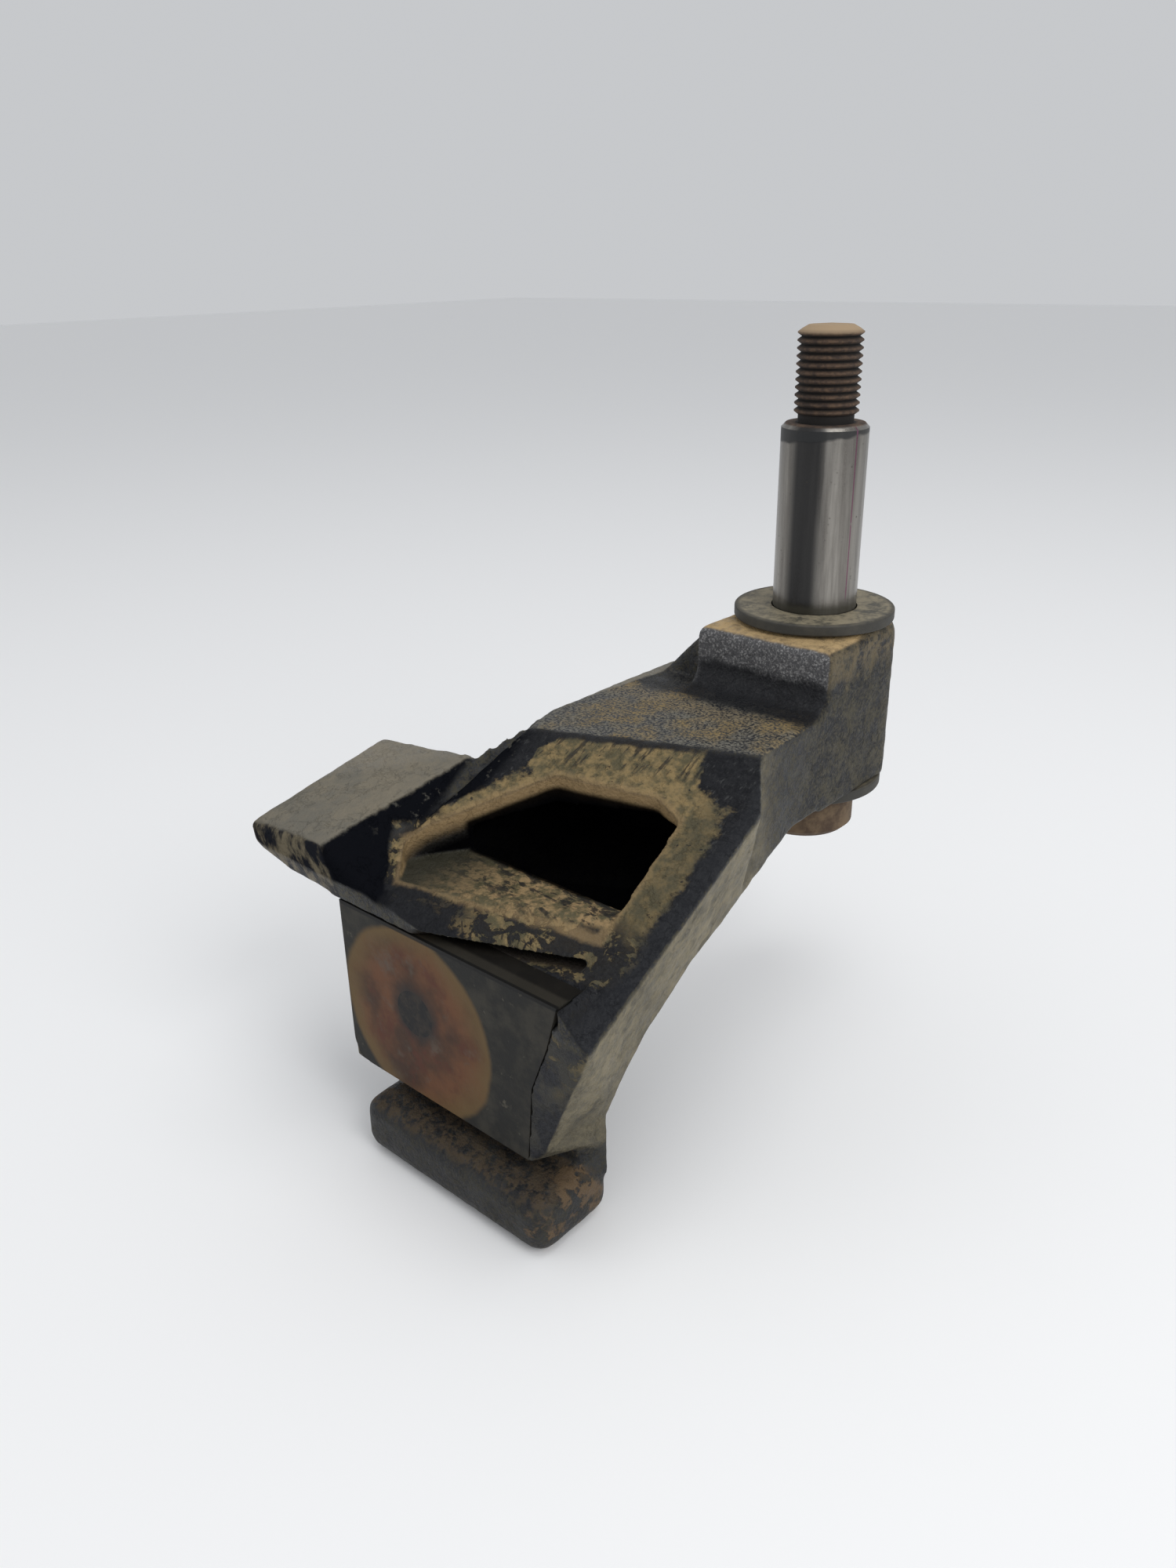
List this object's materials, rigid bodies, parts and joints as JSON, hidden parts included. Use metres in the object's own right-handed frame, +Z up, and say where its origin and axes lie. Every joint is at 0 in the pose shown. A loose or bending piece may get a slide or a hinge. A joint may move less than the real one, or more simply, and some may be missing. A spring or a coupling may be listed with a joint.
{
  "type": "pivoting anvil arm",
  "caption": "Cast steel swing arm on a headed pivot pin, with a flat anvil face, a side lug and a foot at its free end.",
  "frame": {"origin": "on the pivot pin's axis, at the top face of the upper washer", "axes": "+Z up along the pivot pin towards its thread, +X from the pin to the anvil face, +Y to the arm's right side"},
  "size_m": [0.214, 0.1415, 0.2517],
  "materials": {
    "cast_paint": "semi-gloss black over sand casting, dusty and chipped",
    "anvil_steel": "worn flat, rust brown",
    "rivet_steel": "dark worn steel",
    "pin_steel": "ground shank, rusty thread and head",
    "washer_steel": "dull, dusty",
    "bush_bronze": "bored bronze"
  },
  "bodies": {
    "pin": {"pivot_pin": "pin_steel"},
    "arm": {"arm_casting": "cast_paint", "anvil_block": "anvil_steel", "block_rivet": "rivet_steel", "upper_bushing": "bush_bronze", "lower_bushing": "bush_bronze"},
    "washer_top": {"upper_washer": "washer_steel"},
    "washer_bottom": {"lower_washer": "washer_steel"}
  },
  "joints": [
    {"name": "arm_swing", "type": "hinge", "parent": "pin", "child": "arm", "pos_m": [0, 0, -0.034], "axis": [0, 0, 1], "continuous": true},
    {"name": "upper_washer_turn", "type": "hinge", "parent": "pin", "child": "washer_top", "pos_m": [0, 0, -0.002], "axis": [0, 0, 1], "continuous": true},
    {"name": "lower_washer_turn", "type": "hinge", "parent": "pin", "child": "washer_bottom", "pos_m": [0, 0, -0.066], "axis": [0, 0, 1], "continuous": true}
  ]
}
